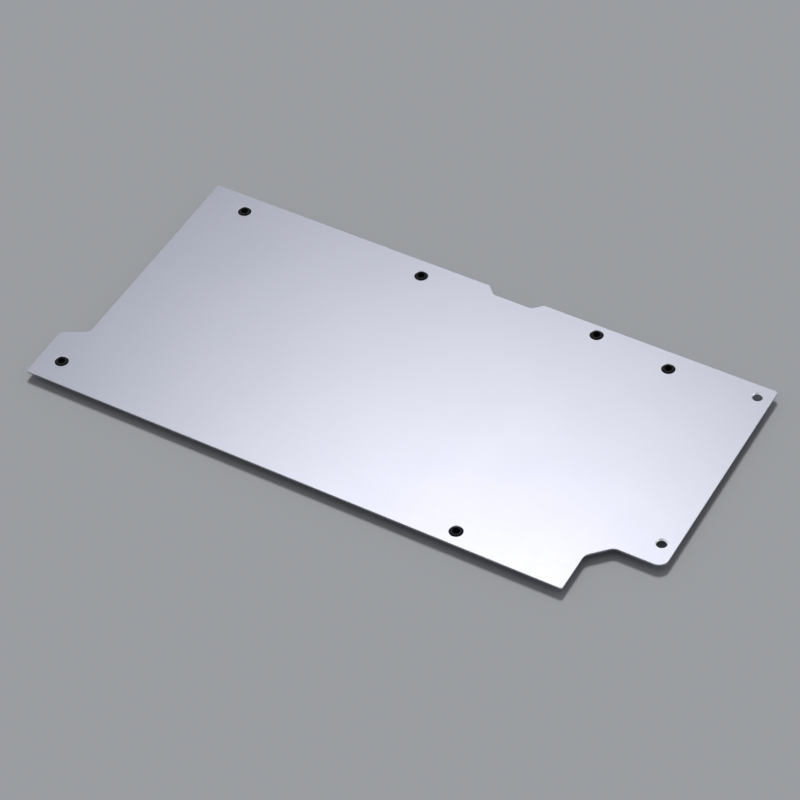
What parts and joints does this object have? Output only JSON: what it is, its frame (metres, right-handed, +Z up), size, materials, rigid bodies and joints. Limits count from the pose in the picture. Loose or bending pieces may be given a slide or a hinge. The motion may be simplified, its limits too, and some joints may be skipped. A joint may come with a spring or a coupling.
{
  "type": "liquid cooling backplate",
  "caption": "Flat metal backplate of a liquid-cooled accelerator card, with stepped corners, a small back notch, screws fitted at its edges and plain holes at one end.",
  "frame": {"origin": "middle of the overall footprint, on the plane through the screw tips that the part rests on", "axes": "+X along the plate's length towards the end with the two plain holes, +Y across it towards the edge with the notch, +Z up, out of the face that shows the screw heads"},
  "size_m": [0.267, 0.127, 0.0041],
  "materials": {
    "plate_metal": "fine satin, bright plated",
    "black_steel": "black oxide, slightly glossy"
  },
  "bodies": {
    "root": {"backplate": "plate_metal", "mounting_screws": "black_steel"}
  },
  "joints": []
}
